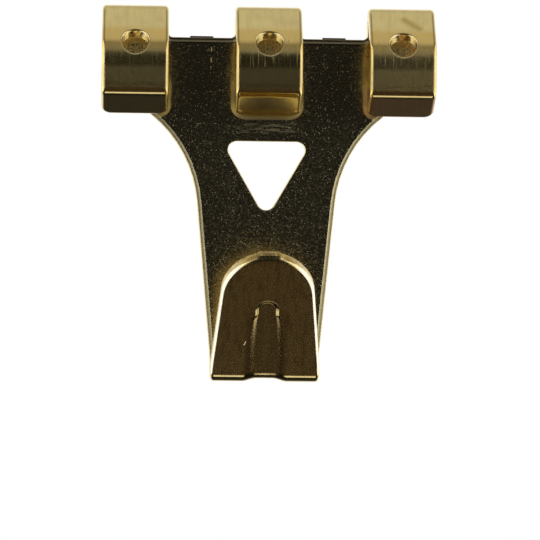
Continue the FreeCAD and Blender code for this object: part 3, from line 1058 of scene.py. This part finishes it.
def brass_finish():
    """Bright brass plating with pits, die streaks, haze, tarnish, and painted shade and highlights, laid out
    on the flat blank.
    """
    material = bpy.data.materials.new("brass_plate")
    material.use_nodes = True
    tree = material.node_tree
    shader = tree.nodes["Principled BSDF"]
    blank = add_node(tree, "ShaderNodeAttribute", attribute_name="blank").outputs["Vector"]
    place = add_node(tree, "ShaderNodeSeparateXYZ")
    feed(tree, place.inputs[0], blank)
    x, y, z = place.outputs
    zone = finish_zones(tree, x, y, z)
    look = finish_marks(tree, blank, x, z, zone)
    feed(tree, shader.inputs["Base Color"], finish_colour(tree, zone, look))
    feed(tree, shader.inputs["Roughness"], finish_roughness(tree, zone, look))
    shader.inputs["Metallic"].default_value = 1.0
    bump = add_node(tree, "ShaderNodeBump")
    bump.inputs["Strength"].default_value = 1.0
    bump.inputs["Distance"].default_value = RELIEF_HEIGHT * MM
    feed(tree, bump.inputs["Height"], finish_relief(tree, zone, look))
    feed(tree, shader.inputs["Normal"], bump.outputs[0])
    return material


def studio_world():
    """White room behind the hook, dim above, with a strip beneath and a warm card low in front of it.

    The camera sees all of it as plain white.
    """
    world = bpy.data.worlds.new("studio")
    bpy.context.scene.world = world
    world.use_nodes = True
    tree = world.node_tree
    background = tree.nodes["Background"]
    way = add_node(tree, "ShaderNodeSeparateXYZ")
    tree.links.new(add_node(tree, "ShaderNodeTexCoord").outputs["Generated"], way.inputs[0])
    x, y, z = way.outputs

    # Limits are parts of a unit direction, with x to the right, y to the back and z up
    overhead = total(
        tree,
        product(tree, ramp(tree, z, 0.4, 0.56), OVERHEAD_LEVEL),
        product(tree, ramp(tree, z, 0.85, 1.0), ZENITH_LEVEL),
    )
    high_back = product(tree, ramp(tree, z, 0.2, 0.55), ramp(tree, y, 0.85, 0.6), -HIGH_BACK_CUT)
    behind = product(tree, ramp(tree, y, 0.0, 0.4), ramp(tree, z, -0.72, -0.4), total(tree, 1.0, high_back))
    beneath = product(
        tree,
        ramp(tree, calc(tree, "ABSOLUTE", y), 0.16, 0.06),
        ramp(tree, calc(tree, "ABSOLUTE", x), 0.3, 0.15),
        ramp(tree, z, -0.85, -0.93),
    )
    low_back = product(tree, ramp(tree, y, 0.3, 0.6), LOW_BACK_LEVEL)
    card = product(tree, ramp(tree, y, 0.0, -0.2), ramp(tree, z, -0.35, -0.75))
    seen = add_node(tree, "ShaderNodeLightPath").outputs["Is Camera Ray"]
    light = seen
    for part in (overhead, behind, beneath, low_back, product(tree, card, CARD_LEVEL), ROOM_LEVEL):
        light = calc(tree, "MAXIMUM", light, part)
    feed(tree, background.inputs["Strength"], light)
    unseen = calc(tree, "SUBTRACT", 1.0, seen)
    feed(tree, background.inputs["Color"], tinted(tree, WHITE, product(tree, card, unseen), CARD_COLOUR))


def softbox(name, azimuth):
    """Soft panel lamp that faces the hook; azimuth is counted from the front towards +X, in degrees."""
    lamp = bpy.data.lights.new(name, "AREA")
    lamp.shape = "RECTANGLE"
    lamp.size = SOFTBOX_WIDTH
    lamp.size_y = SOFTBOX_HEIGHT
    lamp.energy = SOFTBOX_RADIANCE * math.pi * SOFTBOX_WIDTH * SOFTBOX_HEIGHT
    panel = bpy.data.objects.new(name, lamp)
    level = cos(SOFTBOX_ELEVATION)
    away = Vector((sin(azimuth) * level, -cos(azimuth) * level, sin(SOFTBOX_ELEVATION)))
    middle = Vector((0, -SHEET, (HOOK_BOTTOM + LOOP_CROWN) / 2)) * MM
    turn = (-away).to_track_quat("-Z", "Y").to_matrix().to_4x4()
    panel.matrix_world = Matrix.Translation(middle + away * SOFTBOX_DISTANCE) @ turn
    panel.visible_camera = False
    bpy.context.scene.collection.objects.link(panel)


def studio_lamps():
    """Two softboxes, one to each side."""
    softbox("left_softbox", -SOFTBOX_AZIMUTH)
    softbox("right_softbox", SOFTBOX_AZIMUTH)


def studio_floor():
    """Pale floor under the hook that fades to the white of the room."""
    mesh = bpy.data.meshes.new("floor")
    reach, level = FLOOR_REACH, FLOOR_LEVEL
    corners = [(-reach, -reach, level), (reach, -reach, level), (reach, reach, level), (-reach, reach, level)]
    mesh.from_pydata(corners, [], [(0, 1, 2, 3)])
    floor = bpy.data.objects.new("floor", mesh)
    bpy.context.scene.collection.objects.link(floor)
    material = bpy.data.materials.new("pale_floor")
    material.use_nodes = True
    tree = material.node_tree
    shader = tree.nodes["Principled BSDF"]
    shader.inputs["Base Color"].default_value = FLOOR_COLOUR
    shader.inputs["Roughness"].default_value = FLOOR_ROUGHNESS
    glow = add_node(tree, "ShaderNodeEmission")
    place = add_node(tree, "ShaderNodeVectorMath", operation="LENGTH")
    tree.links.new(add_node(tree, "ShaderNodeTexCoord").outputs["Object"], place.inputs[0])
    far = ramp(tree, place.outputs["Value"], FLOOR_FADE_START, FLOOR_FADE_END)
    seen = add_node(tree, "ShaderNodeLightPath").outputs["Is Camera Ray"]
    blend = add_node(tree, "ShaderNodeMixShader")
    feed(tree, blend.inputs[0], calc(tree, "MULTIPLY", far, seen))
    feed(tree, blend.inputs[1], shader.outputs[0])
    feed(tree, blend.inputs[2], glow.outputs[0])
    feed(tree, tree.nodes["Material Output"].inputs["Surface"], blend.outputs[0])
    mesh.materials.append(material)
    floor.visible_glossy = False


def photo_camera():
    """Long lens straight in front, a little to the left and rolled, as in the photograph."""
    data = bpy.data.cameras.new("camera")
    data.sensor_fit = "HORIZONTAL"
    data.angle = math.radians(CAMERA_ANGLE)
    camera = bpy.data.objects.new("camera", data)
    aim = Vector(CAMERA_AIM) * MM
    away = Vector((-sin(CAMERA_YAW), -cos(CAMERA_YAW), 0))
    turn = (-away).to_track_quat("-Z", "Y").to_matrix().to_4x4()
    roll = Matrix.Rotation(math.radians(CAMERA_ROLL), 4, "Z")
    camera.matrix_world = Matrix.Translation(aim + away * (CAMERA_DISTANCE * MM)) @ turn @ roll
    bpy.context.scene.collection.objects.link(camera)
    bpy.context.scene.camera = camera


brass = brass_finish()
hook_sheet = folded_hook(brass)
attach(hook_sheet, "root")
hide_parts("picture_hook")
studio_world()
studio_lamps()
studio_floor()
photo_camera()
bpy.context.scene.view_settings.view_transform = "Standard"
